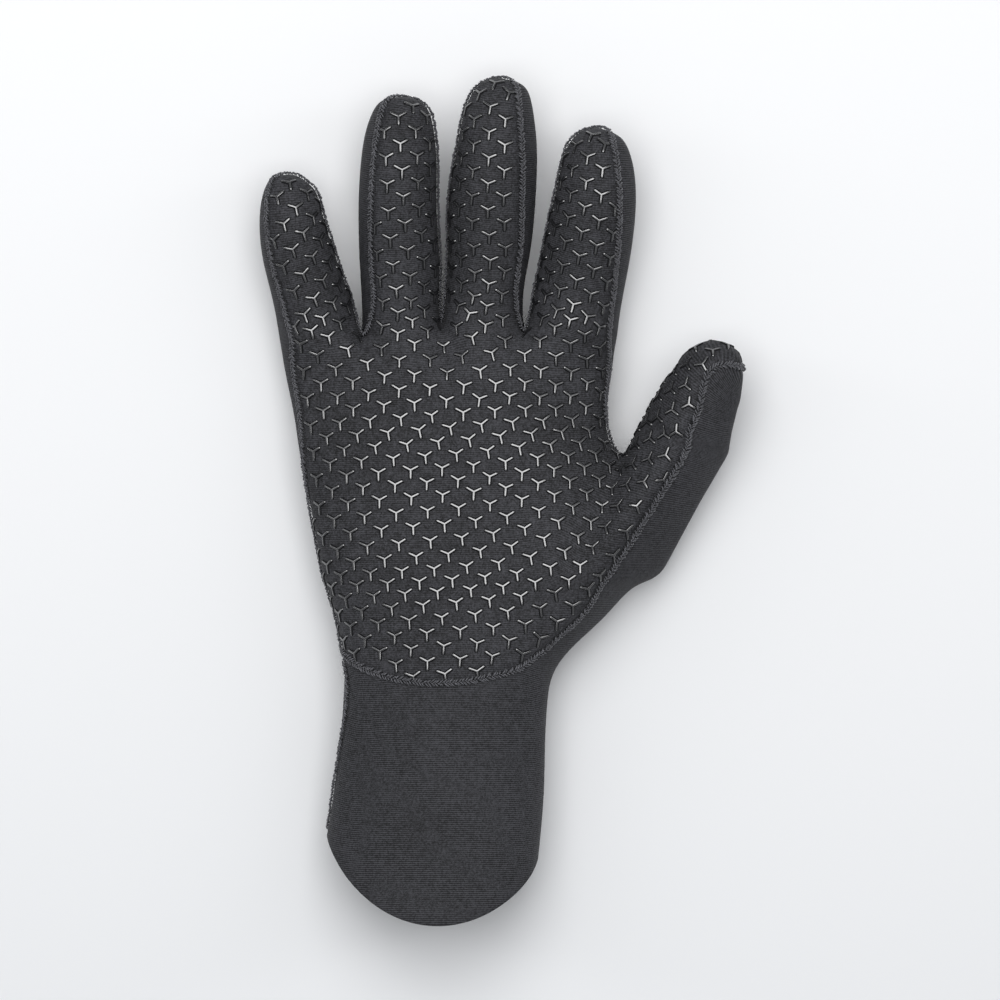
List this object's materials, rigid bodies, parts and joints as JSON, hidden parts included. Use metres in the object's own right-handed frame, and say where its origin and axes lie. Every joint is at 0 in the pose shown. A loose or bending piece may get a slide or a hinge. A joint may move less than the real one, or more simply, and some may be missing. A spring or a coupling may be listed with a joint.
{
  "type": "diving glove",
  "caption": "Right-hand neoprene diving glove with a grip-printed palm panel, plain back and cuff, and flat stitched seams.",
  "frame": {"origin": "on the floor under the middle of the palm, where the back of the glove rests", "axes": "+Z out of the palm, +Y towards the finger tips, +X towards the thumb"},
  "size_m": [0.1614, 0.281, 0.0464],
  "materials": {
    "printed_neoprene": "charcoal knit-faced neoprene with raised glossy rubber grip marks",
    "plain_neoprene": "matte charcoal knit-faced neoprene",
    "seam_thread": "grey polyester thread, slightly shiny",
    "grip_print": "glossy grey-black rubber print"
  },
  "bodies": {
    "root": {"palm_panel": "printed_neoprene", "back_panel": "plain_neoprene", "finger_backs": "plain_neoprene", "panel_seam": "seam_thread", "cuff_seam": "seam_thread"}
  },
  "joints": []
}
